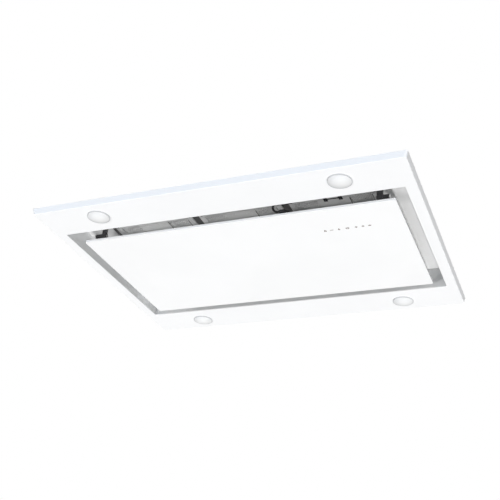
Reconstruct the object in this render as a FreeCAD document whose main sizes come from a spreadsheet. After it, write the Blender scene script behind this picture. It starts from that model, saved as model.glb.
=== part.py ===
import FreeCAD, Part
import math
import os
import Sketcher

# Ceiling range hood, in millimetres. The origin is the centre of the ceiling plane, where the
# frame's return flange rests; +Z is up into the ceiling and -Y is the side with the panel's hinges.

SIZES = {
    # white frame below the ceiling
    "frame_width": 900,
    "frame_depth": 700,
    "skirt_height": 14,
    "skirt_flare": 4,
    "frame_sheet": 2,
    "rim_width": 14,
    "frame_corner": 6,
    "frame_bend": 1.2,
    "end_border": 30,
    "side_border": 110,
    # liner and filter plate
    "liner_sheet": 1.5,
    "liner_flange": 12,
    "plate_height": 42,
    # swinging panel
    "panel_gap": 29,
    "hinge_gap": 40,
    "panel_drop": 3.5,
    "glass_thickness": 6,
    "glass_corner": 5,
    "glass_bevel": 0.8,
    "pan_inset_ends": 12,
    "pan_inset_sides": 25,
    "pan_height": 12,
    "pan_sheet": 1.2,
    # panel hinges
    "hinge_setback": 19,
    "hinge_rise": 17.5,
    "hinge_inset": 19,
    "knuckle_width": 14,
    "knuckle_radius": 6,
    "hinge_pin_radius": 3,
    "hinge_sheet": 2.5,
    "hinge_foot": 30,
    "hinge_bracket_foot": 12,
    "pin_head": 2,
    "running_gap": 0.05,
    "rest_gap": 0.3,
    # magnetic catches
    "catch_inset": 79,
    "catch_width": 36,
    "catch_depth": 16,
    "catch_ear": 9,
    "catch_flange": 3,
    "striker_sheet": 1.5,
    # grease filters
    "plate_end": 71.5,
    "plate_side": 73.5,
    "filter_spacing": 19,
    "filter_height": 12,
    "filter_sheet": 1.5,
    "mesh_height": 6,
    "mesh_columns": 4,
    "mesh_rows": 12,
    "mesh_strand": 3,
    "filter_rim": 14,
    "filter_band": 78,
    "filter_clearance": 1.5,
    "finger_spacing": 36,
    "finger_width": 10,
    "finger_length": 20,
    "finger_inset": 4.5,
    "lug_inset": 36.5,
    "lug_width": 24,
    "lug_length": 8,
    "lug_sheet": 2,
    "end_strip": 10,
    "rail_gap": 1,
    "rail_height": 10,
    "rail_sheet": 1.5,
    "rail_lap": 10,
    "keeper_width": 40,
    "keeper_lap": 12,
    "keeper_foot": 22,
    "keeper_sheet": 2,
    # housing above the ceiling
    "housing_clearance": 2,
    "housing_sheet": 1.5,
    "housing_flange": 11,
    "cover_skirt": 12,
    "bead_depth": 3,
    "bead_width": 24,
    "bead_slope": 45,
    "bead_end": 85,
    "bead_side": 97,
    "bead_lift": 36,
    "bracket_inset": 95,
    "bracket_width": 40,
    "bracket_reach": 36,
    "bracket_leg": 44,
    "bracket_sheet": 3,
    "bracket_drop": 6,
    "rod_hole_radius": 4.5,
    "rod_offset": 21,
    # blower
    "intake_space": 26,
    "scroll_height": 154,
    "scroll_sheet": 2,
    "scroll_growth": 12,
    "impeller_radius": 105,
    "impeller_gap": 9,
    "impeller_height": 124,
    "blade_count": 32,
    "blade_depth": 22,
    "blade_sheet": 1.5,
    "blade_bow": 2.75,
    "ring_height": 4,
    "disc_sheet": 3,
    "hub_radius": 16,
    "hub_height": 24,
    "shaft_radius": 5,
    "inlet_radius": 78,
    "inlet_bell": 12,
    "inlet_flange": 14,
    "motor_radius": 52,
    "motor_height": 62,
    "motor_flange": 74,
    "motor_flange_sheet": 3,
    "motor_hole": 56,
    "bush_count": 3,
    "bush_circle": 65,
    "bush_radius": 6,
    "bush_height": 5,
    "hanger_offset": 70,
    "hanger_radius": 6,
    "hanger_height": 26,
    "blower_back": 30,
    # duct outlet
    "collar_radius": 74.5,
    "collar_wall": 1.5,
    "collar_length": 62,
    "collar_flange": 10,
    "seat_width": 4,
    "seat_back": 10,
    "damper_pin_radius": 2,
    "damper_knuckle": 4,
    "damper_sheet": 1.5,
    "damper_edge": 1.5,
    "damper_end": 14.6,
    # electronics box
    "box_width": 200,
    "box_height": 100,
    "box_depth": 45,
    "box_sheet": 2,
    "box_inset": 115,
    "box_lift": 80,
    "lid_sheet": 1.5,
    "board_sheet": 1.6,
    "board_margin": 8,
    "gland_radius": 11,
    "gland_bore": 4.25,
    "gland_length": 22,
    "gland_collar": 5,
    # lights
    "spot_inset_ends": 156,
    "spot_inset_sides": 52,
    "spot_radius": 27,
    "bezel_rim": 1.6,
    "bezel_drop": 3,
    "bezel_web": 0.8,
    "sleeve_inset": 2,
    "sleeve_wall": 2,
    "sleeve_height": 18,
    "spot_gap": 0.2,
    "lens_dome": 6,
    "spot_height": 42,
    "fin_pitch": 6,
    "fin_sheet": 2,
    "core_radius": 14,
    "clip_reach": 16,
    "clip_width": 10,
    "clip_sheet": 0.8,
    # touch control and its lead
    "touch_inset": 134,
    "touch_setback": 90,
    "touch_width": 140,
    "touch_depth": 44,
    "touch_cover_height": 11,
    "touch_cover_wall": 2,
    "lead_radius": 2.75,
    "lead_bend": 14,
    "lead_back": 159,
    "clip_back": 141,
    "clip_length": 12,
    "clip_wall": 2.25,
    "socket_back": 139,
    "socket_width": 24,
    "socket_depth": 14,
    "socket_height": 14,
}

doc = FreeCAD.newDocument("ceiling_hood")
sheet = doc.addObject("Spreadsheet::Sheet", "sizes")
for row, (alias, number) in enumerate(SIZES.items(), 1):
    sheet.set(f"A{row}", alias.replace("_", " "))
    sheet.set(f"B{row}", str(number))
    sheet.setAlias(f"B{row}", alias)
doc.recompute()


class Size:
    """A number together with the formula that gives it from the spreadsheet's cells."""

    def __init__(self, formula, number):
        self.formula = formula
        self.number = number

    @staticmethod
    def of(thing):
        return thing if isinstance(thing, Size) else Size(repr(float(thing)), float(thing))

    def __add__(self, other):
        other = Size.of(other)
        return Size(f"({self.formula} + {other.formula})", self.number + other.number)

    def __sub__(self, other):
        other = Size.of(other)
        return Size(f"({self.formula} - {other.formula})", self.number - other.number)

    def __mul__(self, other):
        other = Size.of(other)
        return Size(f"({self.formula} * {other.formula})", self.number * other.number)

    def __truediv__(self, other):
        other = Size.of(other)
        return Size(f"({self.formula} / {other.formula})", self.number / other.number)

    def __neg__(self):
        return Size(f"(0 - {self.formula})", -self.number)

    def __radd__(self, other):
        return Size.of(other) + self

    def __rmul__(self, other):
        return Size.of(other) * self


class Cells:
    """The spreadsheet's sizes, by name."""

    def __getattr__(self, alias):
        return Size(f"sizes.{alias}", float(sheet.get(alias)))


S = Cells()
subparts = []


def keep(obj, label):
    """Names a finished sub-part."""
    obj.Label = label
    subparts.append(obj)
    return obj


def bind(obj, **sizes):
    """Binds properties to formulas; Base_x stands for Placement.Base.x."""
    for name, size in sizes.items():
        path = name.replace("Base_", "Placement.Base.")
        obj.setExpression(path, Size.of(size).formula)


def box(low, high):
    """A block between two corners."""
    obj = doc.addObject("Part::Box", "block")
    low = [Size.of(v) for v in low]
    high = [Size.of(v) for v in high]
    bind(obj, Length=high[0] - low[0], Width=high[1] - low[1], Height=high[2] - low[2])
    bind(obj, Base_x=low[0], Base_y=low[1], Base_z=low[2])
    return obj


TURNS = {
    "X": FreeCAD.Rotation(FreeCAD.Vector(0, 1, 0), 90),
    "Y": FreeCAD.Rotation(FreeCAD.Vector(1, 0, 0), -90),
    "Z": FreeCAD.Rotation(),
}


def rod(start, radius, length, axis):
    """A cylinder from a start point along +X, +Y or +Z."""
    obj = doc.addObject("Part::Cylinder", "rod")
    obj.Placement = FreeCAD.Placement(FreeCAD.Vector(), TURNS[axis])
    bind(obj, Radius=radius, Height=length)
    bind(obj, Base_x=start[0], Base_y=start[1], Base_z=start[2])
    return obj


def join(*pieces):
    """One solid fused from overlapping or touching pieces."""
    obj = doc.addObject("Part::MultiFuse", "join")
    obj.Shapes = list(pieces)
    obj.Refine = True
    return obj


def cut(base, *tools):
    """The base with the tools taken away."""
    obj = doc.addObject("Part::Cut", "cut")
    obj.Base = base
    obj.Tool = tools[0] if len(tools) == 1 else join(*tools)
    return obj


def common(first, second):
    """The space that both pieces share."""
    obj = doc.addObject("Part::MultiCommon", "common")
    obj.Shapes = [first, second]
    return obj


def group(*pieces):
    """Separate solids that share one node."""
    obj = doc.addObject("Part::Compound", "group")
    obj.Links = list(pieces)
    return obj


def new_body(name):
    return doc.addObject("PartDesign::Body", name)


def sketch_on(body, role, lift=0):
    """An empty sketch on one of the body's own planes, raised along the plane's normal."""
    sketch = body.newObject("Sketcher::SketchObject", "sketch")
    plane = next(f for f in body.Origin.OriginFeatures if f.Role == role)
    sketch.AttachmentSupport = (plane, [""])
    sketch.MapMode = "FlatFace"
    sketch.setExpression("AttachmentOffset.Base.z", Size.of(lift).formula)
    return sketch


def pin_point(sketch, index, place, point):
    """Ties one point of a sketch's geometry to the sheet, measured from the origin."""
    for kind, size in zip(("DistanceX", "DistanceY"), point):
        number = sketch.addConstraint(Sketcher.Constraint(kind, -1, 1, index, place, size.number))
        sketch.setExpression(f"Constraints[{number}]", size.formula)


def outline(sketch, points):
    """A closed outline of straight lines through points given by formulas."""
    points = [(Size.of(u), Size.of(v)) for u, v in points]
    first = sketch.GeometryCount
    count = len(points)
    corners = [FreeCAD.Vector(u.number, v.number, 0) for u, v in points]
    for i in range(count):
        sketch.addGeometry(Part.LineSegment(corners[i], corners[(i + 1) % count]), False)
    for i in range(count):
        after = first + (i + 1) % count
        sketch.addConstraint(Sketcher.Constraint("Coincident", first + i, 2, after, 1))
    for i, point in enumerate(points):
        pin_point(sketch, first + i, 1, point)


def rectangle(sketch, half_u, half_v, centre=(0, 0)):
    """A rectangle about a centre."""
    u, v = Size.of(centre[0]), Size.of(centre[1])
    outline(sketch, [(u - half_u, v - half_v), (u + half_u, v - half_v),
                     (u + half_u, v + half_v), (u - half_u, v + half_v)])


def circle(sketch, centre, radius):
    """A circle about a centre."""
    centre = [Size.of(v) for v in centre]
    middle = FreeCAD.Vector(centre[0].number, centre[1].number, 0)
    index = sketch.addGeometry(Part.Circle(middle, FreeCAD.Vector(0, 0, 1), radius.number), False)
    pin_point(sketch, index, 3, centre)
    number = sketch.addConstraint(Sketcher.Constraint("Radius", index, radius.number))
    sketch.setExpression(f"Constraints[{number}]", radius.formula)


def pad(body, sketch, length):
    """Material added along the sketch's normal."""
    feature = body.newObject("PartDesign::Pad", "pad")
    feature.Profile = sketch
    bind(feature, Length=length)
    body.Tip = feature
    doc.recompute()
    return feature


def pocket(body, sketch, depth):
    """Material cut away against the sketch's normal."""
    feature = body.newObject("PartDesign::Pocket", "pocket")
    feature.Profile = sketch
    bind(feature, Length=depth)
    body.Tip = feature
    doc.recompute()
    return feature


def revolve(body, points):
    """A profile of radius and height turned about the body's own Z axis."""
    sketch = sketch_on(body, "XZ_Plane")
    outline(sketch, points)
    feature = body.newObject("PartDesign::Revolution", "revolution")
    feature.Profile = sketch
    feature.ReferenceAxis = (sketch, ["V_Axis"])
    feature.Angle = 360
    body.Tip = feature
    doc.recompute()
    return feature


def fillet(body, wanted, radius):
    """Rounds the edges of the body for which wanted(edge) is true."""
    base = body.Tip
    names = [f"Edge{i}" for i, edge in enumerate(base.Shape.Edges, 1) if wanted(edge)]
    feature = body.newObject("PartDesign::Fillet", "fillet")
    feature.Base = (base, names)
    bind(feature, Radius=radius)
    body.Tip = feature
    doc.recompute()
    return feature


def solid_of(label, shape):
    """A sub-part whose shape is worked out from the sheet's numbers."""
    obj = doc.addObject("Part::Feature", "shape")
    obj.Shape = shape
    return keep(obj, label)


# Heights, places and half widths that several pieces share
FILTERS = 3
face_low = -S.skirt_height
face_top = face_low + S.frame_sheet
liner_x = S.frame_width / 2 - S.end_border
liner_y = S.frame_depth / 2 - S.side_border
panel_x = liner_x - S.panel_gap
panel_y = liner_y - S.panel_gap
panel_near = S.hinge_gap - liner_y
glass_low = face_low - S.panel_drop
glass_top = glass_low + S.glass_thickness
pan_x = panel_x - S.pan_inset_ends
pan_y = panel_y - S.pan_inset_sides
pan_near = panel_near + S.pan_inset_sides
pan_top = glass_top + S.pan_height
axis_y = panel_near + S.hinge_setback
axis_z = glass_top + S.hinge_rise
plate_top = S.plate_height + S.liner_sheet
filter_top = S.plate_height + S.filter_height
hole_x = liner_x - S.plate_end
hole_y = liner_y - S.plate_side
filter_x = (hole_x - S.end_strip - S.filter_spacing) / FILTERS
filter_y = hole_y - S.filter_clearance
filter_pitch = filter_x * 2 + S.filter_spacing
spot_x = S.frame_width / 2 - S.spot_inset_ends
spot_y = S.frame_depth / 2 - S.spot_inset_sides
touch_x = panel_x - S.touch_inset
touch_y = panel_near + S.touch_setback
housing_x = liner_x + S.liner_sheet + S.housing_clearance
housing_y = liner_y + S.liner_sheet + S.housing_clearance
housing_low = face_top + S.liner_sheet
outer_x = housing_x + S.housing_sheet
outer_y = housing_y + S.housing_sheet
scroll_low = filter_top + S.intake_space
scroll_high = scroll_low + S.scroll_height
housing_top = scroll_high + S.hanger_height
scroll_radius = S.impeller_radius + S.impeller_gap
mouth_width = scroll_radius + S.scroll_growth * 3
blower_x = -mouth_width / 2
blower_y = -S.blower_back
collar_z = scroll_low + S.scroll_height / 2
SIDES = (("left", -1), ("right", 1))
CORNERS = ((-1, -1), (1, -1), (1, 1), (-1, 1))
LEVEL = 1e-4


def ceiling_frame():
    """Folded frame: flat face, flared skirt, return flange on the ceiling, opening and light holes."""
    body = new_body("frame_body")
    half_x = S.frame_width / 2
    half_y = S.frame_depth / 2
    lower = sketch_on(body, "XY_Plane", face_low)
    rectangle(lower, half_x - S.skirt_flare, half_y - S.skirt_flare)
    skirt = pad(body, lower, S.skirt_height)
    slope = f"atan({S.skirt_flare.formula} / {S.skirt_height.formula})"
    skirt.setExpression("TaperAngle", slope)
    doc.recompute()
    upright = S.skirt_height.number / 2
    fillet(body, lambda edge: edge.BoundBox.ZLength > upright, S.frame_corner)
    floor = face_low.number
    fillet(body, lambda edge: abs(edge.BoundBox.ZMax - floor) < LEVEL, S.frame_bend)
    hollow = sketch_on(body, "XY_Plane", -S.frame_sheet)
    inset = S.frame_sheet * 2
    rectangle(hollow, half_x - inset, half_y - inset)
    channel = pocket(body, hollow, S.skirt_height - S.frame_sheet * 2)
    channel.setExpression("TaperAngle", f"-{slope}")
    doc.recompute()
    rim = sketch_on(body, "XY_Plane", 0)
    rectangle(rim, half_x - S.rim_width, half_y - S.rim_width)
    pocket(body, rim, S.frame_sheet)
    holes = sketch_on(body, "XY_Plane", face_top)
    rectangle(holes, liner_x, liner_y)
    for sign_x, sign_y in CORNERS:
        circle(holes, (spot_x * sign_x, spot_y * sign_y), S.spot_radius - S.sleeve_inset + S.rest_gap)
    pocket(body, holes, S.frame_sheet)
    keep(body, "ceiling_frame")


def liner():
    """Stainless walls round the opening, with a flange on the back of the frame."""
    body = new_body("liner_body")
    walls = sketch_on(body, "XY_Plane", face_top)
    rectangle(walls, liner_x + S.liner_sheet, liner_y + S.liner_sheet)
    rectangle(walls, liner_x, liner_y)
    pad(body, walls, S.plate_height - face_top)
    flange = sketch_on(body, "XY_Plane", face_top)
    rectangle(flange, liner_x + S.liner_flange, liner_y + S.liner_flange)
    rectangle(flange, liner_x, liner_y)
    pad(body, flange, S.liner_sheet)
    keep(body, "liner")


def filter_plate():
    """Flat plate on top of the liner, open where the filters sit."""
    body = new_body("plate_body")
    face = sketch_on(body, "XY_Plane", S.plate_height)
    rectangle(face, liner_x + S.liner_sheet, liner_y + S.liner_sheet)
    rectangle(face, hole_x, hole_y)
    pad(body, face, S.liner_sheet)
    keep(body, "filter_plate")


def filter_rails():
    """Dark channels between the filters and at the two ends, laid across the plate's opening."""
    reach = hole_y + S.rail_lap
    spans = [(filter_x + S.rail_gap, filter_pitch - filter_x - S.rail_gap),
             (filter_pitch + filter_x + S.rail_gap, hole_x + S.rail_lap)]
    rails = []
    for inner, outer in spans:
        for sign in (-1, 1):
            ends = (inner, outer) if sign > 0 else (-outer, -inner)
            bar = box((ends[0], -reach, plate_top), (ends[1], reach, plate_top + S.rail_height))
            trough = box((ends[0] + S.rail_sheet, -reach, plate_top + S.rail_sheet),
                         (ends[1] - S.rail_sheet, reach, plate_top + S.rail_height))
            rails.append(cut(bar, trough))
    keep(group(*rails), "filter_rails")


def filter_keepers():
    """Magnet brackets on the plate that hold each filter's hinge-side edge up."""
    keepers = []
    foot_end = -hole_y - S.filter_clearance
    ledge = filter_top + S.rest_gap
    for place in (-1, 0, 1):
        left = filter_pitch * place - S.keeper_width / 2
        right = left + S.keeper_width
        foot_near = foot_end - S.keeper_foot
        foot = box((left, foot_near, plate_top), (right, foot_end, plate_top + S.keeper_sheet))
        web = box((left, foot_end - S.keeper_sheet, plate_top), (right, foot_end, ledge + S.keeper_sheet))
        arm = box((left, foot_end - S.keeper_sheet, ledge),
                  (right, S.keeper_lap - filter_y, ledge + S.keeper_sheet))
        keepers.append(join(foot, web, arm))
    keep(group(*keepers), "filter_keepers")


def filter_window():
    """Half width of each of the two windows in a filter's face."""
    return (filter_x - S.filter_rim - S.filter_band / 2) / 2


def grease_filter(number):
    """One filter cassette: a folded frame with two windows, a plain band with finger slots and lugs."""
    body = new_body("filter_body")
    face = sketch_on(body, "XY_Plane", S.plate_height)
    rectangle(face, filter_x, filter_y)
    pad(body, face, S.filter_height)
    well = sketch_on(body, "XY_Plane", filter_top)
    rectangle(well, filter_x - S.filter_sheet, filter_y - S.filter_sheet)
    pocket(body, well, S.filter_height - S.filter_sheet)
    holes = sketch_on(body, "XY_Plane", S.plate_height + S.filter_sheet)
    window = filter_window()
    for sign in (-1, 1):
        rectangle(holes, window, filter_y - S.filter_rim, ((S.filter_band / 2 + window) * sign, 0))
        slot_y = S.finger_length / 2 + S.finger_inset - filter_y
        rectangle(holes, S.finger_width / 2, S.finger_length / 2, (S.finger_spacing / 2 * sign, slot_y))
    pocket(body, holes, S.filter_sheet)
    lugs = sketch_on(body, "XY_Plane", plate_top + S.rest_gap)
    lug_reach = (S.lug_length + S.filter_clearance + S.filter_sheet) / 2
    for sign in (-1, 1):
        middle = ((filter_x - S.lug_inset) * sign, filter_y - S.filter_sheet + lug_reach)
        rectangle(lugs, S.lug_width / 2, lug_reach, middle)
    pad(body, lugs, S.lug_sheet)
    bind(body, Base_x=filter_pitch * (number - 2))
    keep(body, f"filter_frame_{number}")


def filter_mesh(number):
    """The cassette's mesh pack: one plate with diamond gaps in rows over both windows."""
    slack = (S.filter_sheet + S.rest_gap).number
    half_x = filter_x.number - slack
    half_y = filter_y.number - slack
    window = filter_window().number
    columns = round(S.mesh_columns.number)
    rows = round(S.mesh_rows.number)
    pitch_x = 2 * window / columns
    pitch_y = 2 * (filter_y.number - S.filter_rim.number) / rows
    strand = S.mesh_strand.number / 2

    def loop(points):
        corners = [FreeCAD.Vector(x, y, 0) for x, y in points]
        return Part.Wire(Part.makePolygon(corners + corners[:1]))

    def diamond(x, y):
        across = pitch_x / 2 - strand
        along = pitch_y / 2 - strand
        return loop([(x + across, y), (x, y + along), (x - across, y), (x, y - along)])

    wires = [loop([(-half_x, -half_y), (half_x, -half_y), (half_x, half_y), (-half_x, half_y)])]
    for sign in (-1, 1):
        middle = (S.filter_band.number / 2 + window) * sign
        for i in range(columns):
            for j in range(rows):
                across = middle + (i - (columns - 1) / 2) * pitch_x
                wires.append(diamond(across, (j - (rows - 1) / 2) * pitch_y))
    low = S.plate_height.number + S.filter_sheet.number
    face = Part.makeFace(wires, "Part::FaceMakerBullseye")
    net = face.extrude(FreeCAD.Vector(0, 0, S.mesh_height.number))
    net.translate(FreeCAD.Vector(filter_pitch.number * (number - 2), 0, low))
    solid_of(f"filter_mesh_{number}", net)


def press_bead(body, role, inside, half_u, half_v, centre):
    """A stiffening bead pressed outwards through a wall that starts at the given level, with its hollow."""
    ridge_sketch = sketch_on(body, role, inside + S.housing_sheet)
    rectangle(ridge_sketch, half_u, half_v, centre)
    ridge = pad(body, ridge_sketch, S.bead_depth)
    ridge.setExpression("TaperAngle", f"-{S.bead_slope.formula}")
    doc.recompute()
    shrink = S.housing_sheet * math.tan(math.radians(S.bead_slope.number / 2))
    hollow_sketch = sketch_on(body, role, inside)
    rectangle(hollow_sketch, half_u - shrink, half_v - shrink, centre)
    hollow = pocket(body, hollow_sketch, S.bead_depth)
    hollow.Reversed = True
    hollow.setExpression("TaperAngle", f"-{S.bead_slope.formula}")
    doc.recompute()


def housing_panel(label, turn):
    """One galvanised wall with a foot flange and a pressed bead, drawn as the near wall and turned."""
    along_x = label in ("housing_front_panel", "housing_rear_panel")
    reach = outer_x if along_x else housing_y
    near = housing_y if along_x else housing_x
    middle = (housing_low + housing_top) / 2
    body = new_body("wall_body")
    wall = sketch_on(body, "XZ_Plane", near)
    rectangle(wall, reach, middle - housing_low, (0, middle))
    if label == "housing_rear_panel":
        circle(wall, (0, collar_z), S.collar_radius - S.collar_wall)
    pad(body, wall, S.housing_sheet)
    flange = sketch_on(body, "XZ_Plane", near)
    rectangle(flange, reach, S.housing_sheet / 2, (0, housing_low + S.housing_sheet / 2))
    pad(body, flange, S.housing_flange)
    press_bead(body, "XZ_Plane", near, reach - S.bead_end, S.bead_width / 2, (0, S.bead_lift))
    body.Placement = FreeCAD.Placement(FreeCAD.Vector(), FreeCAD.Rotation(FreeCAD.Vector(0, 0, 1), turn))
    keep(body, label)


def top_cover():
    """Lid with a folded skirt over the walls and two pressed stiffening beads."""
    body = new_body("cover_body")
    slack = S.rest_gap
    skirt_low = housing_top - S.cover_skirt
    edge_x = outer_x + slack + S.housing_sheet
    edge_y = outer_y + slack + S.housing_sheet
    block = sketch_on(body, "XY_Plane", skirt_low)
    rectangle(block, edge_x, edge_y)
    pad(body, block, S.cover_skirt + S.housing_sheet)
    well = sketch_on(body, "XY_Plane", housing_top)
    rectangle(well, outer_x + slack, outer_y + slack)
    pocket(body, well, S.cover_skirt)
    for sign in (-1, 1):
        place = (0, (housing_y - S.bead_side) * sign)
        press_bead(body, "XY_Plane", housing_top, housing_x - S.bead_end, S.bead_width / 2, place)
    keep(body, "top_cover")


def suspension_brackets():
    """Four angle brackets on the long walls, each with a hole for a hanging rod."""
    top = housing_top - S.cover_skirt - S.bracket_drop
    brackets = []
    for sign_x, sign_y in CORNERS:
        left = (outer_x - S.bracket_inset) * sign_x - S.bracket_width / 2
        right = left + S.bracket_width

        def plate(near, far, low, high):
            ends = (near, far) if sign_y > 0 else (-far, -near)
            return box((left, ends[0], low), (right, ends[1], high))

        leg = plate(outer_y, outer_y + S.bracket_sheet, top - S.bracket_leg, top)
        ear = plate(outer_y, outer_y + S.bracket_reach, top - S.bracket_sheet, top)
        hole_at = (left + S.bracket_width / 2, (outer_y + S.rod_offset) * sign_y, top - S.bracket_sheet)
        brackets.append(cut(join(leg, ear), rod(hole_at, S.rod_hole_radius, S.bracket_sheet, "Z")))
    keep(group(*brackets), "suspension_brackets")


def volute(offset, mouth_y, low, high):
    """The scroll's space: three quarter arcs that grow by one step each, then a straight mouth.

    The arcs' centres lie on three corners of a small square, so each meets the next in line.
    """
    radius = scroll_radius.number + offset
    step = S.scroll_growth.number
    at = FreeCAD.Vector(blower_x.number, blower_y.number, low)

    def spot(x, y):
        return at + FreeCAD.Vector(x, y, 0)

    def quarter(x, y, size, start_degrees, end_degrees):
        middle = (start_degrees + end_degrees) / 2
        angles = [math.radians(a) for a in (start_degrees, middle, end_degrees)]
        return Part.Arc(*[spot(x + size * math.cos(a), y + size * math.sin(a)) for a in angles]).toShape()

    tongue = math.degrees(math.asin(offset / radius)) + 90
    start_y = radius * math.sin(math.radians(tongue))
    end_y = mouth_y - blower_y.number
    side = radius + 3 * step
    edges = [
        Part.makeLine(spot(-offset, end_y), spot(-offset, start_y)),
        quarter(0, 0, radius, tongue, 180),
        quarter(step, 0, radius + step, 180, 270),
        quarter(step, step, radius + 2 * step, 270, 360),
        Part.makeLine(spot(side, step), spot(side, end_y)),
        Part.makeLine(spot(side, end_y), spot(-offset, end_y)),
    ]
    return Part.Face(Part.Wire(edges)).extrude(FreeCAD.Vector(0, 0, high - low))


def blower_scroll():
    """Sheet metal scroll with an inlet below, a motor hole above and its mouth on the rear wall."""
    wall = S.scroll_sheet.number
    low, high = scroll_low.number, scroll_high.number
    mouth_y = housing_y.number
    outer = volute(wall, mouth_y, low, high)
    inner = volute(0, mouth_y + wall, low + wall, high - wall)
    centre = FreeCAD.Vector(blower_x.number, blower_y.number, low)
    mouth = (S.inlet_radius + S.inlet_bell + S.rest_gap).number
    inlet = Part.makeCylinder(mouth, wall, centre)
    motor = Part.makeCylinder(S.motor_hole.number, wall, FreeCAD.Vector(centre.x, centre.y, high - wall))
    solid_of("blower_scroll", outer.cut(inner).cut(inlet).cut(motor).removeSplitter())


def inlet_ring():
    """Bell mouth under the scroll: a quarter-round throat spun from sheet, with a flat flange round it."""
    wall = S.scroll_sheet
    low = scroll_low - wall
    rim = S.inlet_radius + S.inlet_bell
    foot = (blower_x, blower_y, low)
    turns = []
    for radius in (S.inlet_bell, S.inlet_bell - wall):
        turn = doc.addObject("Part::Torus", "throat")
        bind(turn, Radius1=rim, Radius2=radius)
        bind(turn, Base_x=blower_x, Base_y=blower_y, Base_z=low + S.inlet_bell)
        turns.append(turn)
    throat = common(cut(*turns), rod(foot, rim, S.inlet_bell, "Z"))
    flange = cut(rod(foot, rim + S.inlet_flange, wall, "Z"), rod(foot, rim, wall, "Z"))
    keep(join(throat, flange), "inlet_ring")


def impeller():
    """Drum impeller: a mid disc with its hub, two end rings and forward-curved blades."""
    radius = S.impeller_radius.number
    inner = radius - S.blade_depth.number
    half = S.impeller_height.number / 2
    thick = S.blade_sheet.number
    bow = S.blade_bow.number
    centre = FreeCAD.Vector(blower_x.number, blower_y.number, collar_z.number)
    up = FreeCAD.Vector(0, 0, 1)

    def tube(outer, hole, low, high):
        at = centre + up * low
        return Part.makeCylinder(outer, high - low, at).cut(Part.makeCylinder(hole, high - low, at))

    def edge(shift):
        root = FreeCAD.Vector(inner, shift, -half)
        middle = FreeCAD.Vector((inner + radius) / 2, shift - bow, -half)
        tip = FreeCAD.Vector(radius - thick, shift + bow, -half)
        return root, middle, tip

    lower, upper = edge(0), edge(thick)
    wire = Part.Wire([
        Part.Arc(*lower).toShape(), Part.makeLine(lower[2], upper[2]),
        Part.Arc(*upper[::-1]).toShape(), Part.makeLine(upper[0], lower[0]),
    ])
    blade = Part.Face(wire).extrude(up * (2 * half))
    blade.translate(centre)
    count = round(S.blade_count.number)
    blades = []
    for i in range(count):
        turned = blade.copy()
        turned.rotate(centre, up, 360 * i / count)
        blades.append(turned)
    ring = S.ring_height.number
    disc = S.disc_sheet.number / 2
    hub = S.hub_height.number / 2
    bore = S.shaft_radius.number + S.running_gap.number
    rings = [tube(radius, inner - thick, -half, ring - half), tube(radius, inner - thick, half - ring, half)]
    middle = tube(radius, bore, -disc, disc)
    boss = tube(S.hub_radius.number, bore, -hub, hub)
    solid_of("impeller", middle.fuse([boss] + rings + blades).removeSplitter())


def motor():
    """Motor can hung from its flange, the shaft below it and the rubber bushes under the flange."""
    flange_low = scroll_high + S.bush_height
    can_low = flange_low - S.motor_height
    body = new_body("motor_body")
    revolve(body, [
        (S.shaft_radius + S.running_gap, can_low), (S.motor_radius - S.bush_height, can_low),
        (S.motor_radius, can_low + S.bush_height), (S.motor_radius, flange_low),
        (S.motor_flange, flange_low), (S.motor_flange, flange_low + S.motor_flange_sheet),
        (S.shaft_radius + S.running_gap, flange_low + S.motor_flange_sheet),
    ])
    bind(body, Base_x=blower_x, Base_y=blower_y)
    keep(body, "motor_body")
    shaft_low = collar_z - S.hub_height / 2
    length = flange_low + S.motor_flange_sheet - shaft_low
    keep(rod((blower_x, blower_y, shaft_low), S.shaft_radius, length, "Z"), "motor_shaft")
    bushes = []
    count = round(S.bush_count.number)
    for i in range(count):
        turn = 2 * math.pi * i / count
        cosine, sine = math.cos(turn), math.sin(turn)
        start = (blower_x + S.bush_circle * cosine, blower_y + S.bush_circle * sine, scroll_high)
        bushes.append(rod(start, S.bush_radius, S.bush_height, "Z"))
    keep(group(*bushes), "motor_bushes")


def blower_hangers():
    """Four posts that hang the scroll from the cover."""
    posts = []
    for sign_x, sign_y in CORNERS:
        start = (blower_x + S.hanger_offset * sign_x, blower_y + S.hanger_offset * sign_y, scroll_high)
        posts.append(rod(start, S.hanger_radius, S.hanger_height, "Z"))
    keep(group(*posts), "blower_hangers")


def outlet_collar():
    """Round duct collar with a flange on the rear wall and a seat for the damper flaps inside."""
    body = new_body("collar_body")
    bore = S.collar_radius - S.collar_wall
    seat = S.seat_back
    revolve(body, [
        (bore, 0), (S.collar_radius + S.collar_flange, 0),
        (S.collar_radius + S.collar_flange, S.collar_wall),
        (S.collar_radius, S.collar_wall), (S.collar_radius, S.collar_length), (bore, S.collar_length),
        (bore, seat), (bore - S.seat_width, seat), (bore - S.seat_width, seat - S.collar_wall),
        (bore, seat - S.collar_wall),
    ])
    body.Placement = FreeCAD.Placement(FreeCAD.Vector(), TURNS["Y"])
    bind(body, Base_y=outer_y, Base_z=collar_z)
    keep(body, "outlet_collar")


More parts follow.
